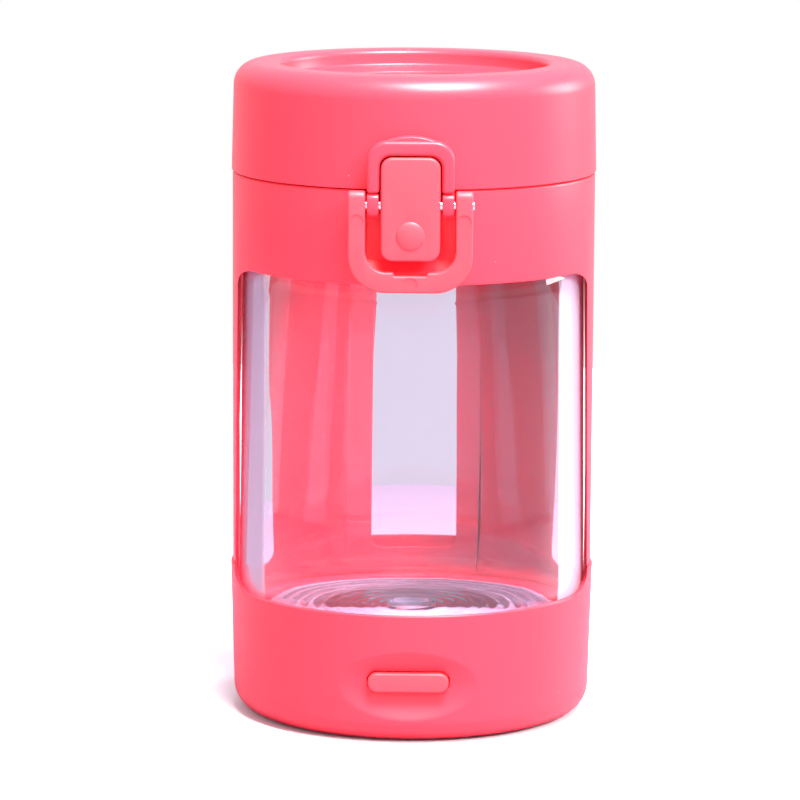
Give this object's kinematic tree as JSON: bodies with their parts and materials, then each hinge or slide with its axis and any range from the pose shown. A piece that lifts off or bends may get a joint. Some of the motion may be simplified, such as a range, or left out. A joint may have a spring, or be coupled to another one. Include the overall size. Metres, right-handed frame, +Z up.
{
  "type": "latching storage jar",
  "caption": "Upright clear jar in a coral sleeve, with a hinged magnifier lid, a sprung push latch with a swing lock, and a lit base.",
  "frame": {"origin": "on the jar's axis, at the surface it stands on", "axes": "+Z up along the jar's axis, -Y towards the latch at the front, +X to the right seen from the front"},
  "size_m": [0.0756, 0.0855, 0.1353],
  "materials": {
    "coral_plastic": "satin moulded ABS, coral",
    "coral_light_plastic": "satin moulded polypropylene, light coral",
    "clear_plastic": "clear blow-moulded vessel",
    "clear_acrylic": "polished acrylic",
    "clear_silicone": "milky silicone",
    "milky_plastic": "frosted light diffuser",
    "foot_rubber": "matt pad",
    "polished_steel": "polished stainless",
    "zinc_steel": "zinc plated",
    "plated_shell": "nickel plated",
    "circuit_laminate": "solder mask",
    "black_plastic": "moulded",
    "led_resin": "phosphor and resin",
    "battery_foil": "foil pouch",
    "lead_insulation": "insulation"
  },
  "bodies": {
    "jar": {"sleeve": "coral_plastic", "vessel": "clear_plastic", "vessel_pad": "clear_silicone", "base_shell": "coral_plastic", "base_plate": "coral_plastic", "base_screws": "zinc_steel", "foot_pad": "foot_rubber", "circuit_board": "circuit_laminate", "board_screws": "zinc_steel", "light_switch": "black_plastic", "leds": "led_resin", "charge_socket": "plated_shell", "battery": "battery_foil", "battery_leads": "lead_insulation", "diffuser": "milky_plastic", "latch_pin": "polished_steel", "latch_spring": "polished_steel", "hinge_pin": "polished_steel", "hinge_spring": "polished_steel"},
    "lid": {"lid_shell": "coral_plastic", "lid_liner": "coral_plastic", "lid_seal": "clear_silicone", "rim_gasket": "clear_silicone", "lens": "clear_acrylic", "lens_gasket": "clear_silicone", "lid_screws": "zinc_steel"},
    "latch_button": {"latch_button": "coral_light_plastic"},
    "lock_bail": {"lock_bail": "coral_light_plastic"},
    "light_button": {"light_button": "coral_light_plastic"}
  },
  "joints": [
    {"name": "lid_hinge", "type": "hinge", "parent": "jar", "child": "lid", "pos_m": [0, 0.0406, 0.113], "axis": [-1, 0, 0], "range_deg": [0, 110], "deforming": ["hinge_spring"]},
    {"name": "latch_press", "type": "hinge", "parent": "jar", "child": "latch_button", "pos_m": [0, -0.0396, 0.1103], "axis": [1, 0, 0], "range_deg": [0, 9], "stiffness_Nm_per_rad": 0.05, "springref_deg": -5.73, "deforming": ["latch_spring"]},
    {"name": "bail_swing", "type": "hinge", "parent": "jar", "child": "lock_bail", "pos_m": [0, -0.0396, 0.1103], "axis": [-1, 0, 0], "range_deg": [0, 180]},
    {"name": "light_press", "type": "slide", "parent": "jar", "child": "light_button", "axis": [0, 1, 0], "range_m": [0, 0.0005], "stiffness_N_per_m": 1500, "springref_m": -0.0003}
  ]
}
